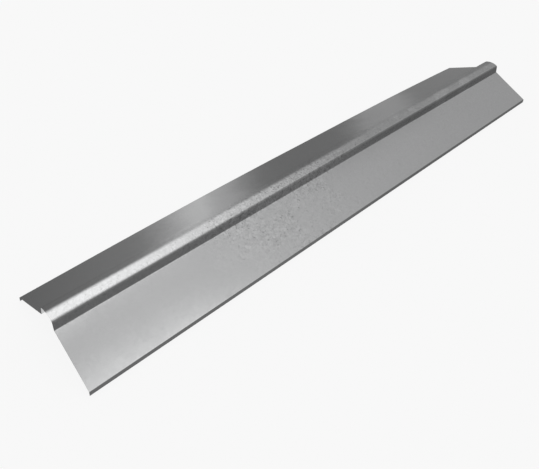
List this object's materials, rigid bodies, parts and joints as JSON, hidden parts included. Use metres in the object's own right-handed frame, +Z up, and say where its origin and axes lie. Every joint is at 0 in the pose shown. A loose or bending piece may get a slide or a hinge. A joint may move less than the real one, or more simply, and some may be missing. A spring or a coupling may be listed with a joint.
{
  "type": "ridge cap",
  "caption": "Folded zinc-coated steel ridge cap: sloping wings on either side of a raised, round-topped rib, with a short upright lip folded down along each outer edge.",
  "frame": {"origin": "middle of the cap's length, on its centre line, at the level of the lips' lower edges, which it stands on", "axes": "+X along the ridge, +Y across it from the front wing to the back wing, +Z up through the top of the rib"},
  "size_m": [2, 0.3386, 0.113],
  "materials": {
    "zinc_coated_steel": "satin zinc coating with a fine spangle"
  },
  "bodies": {
    "root": {"ridge_cap": "zinc_coated_steel"}
  },
  "joints": []
}
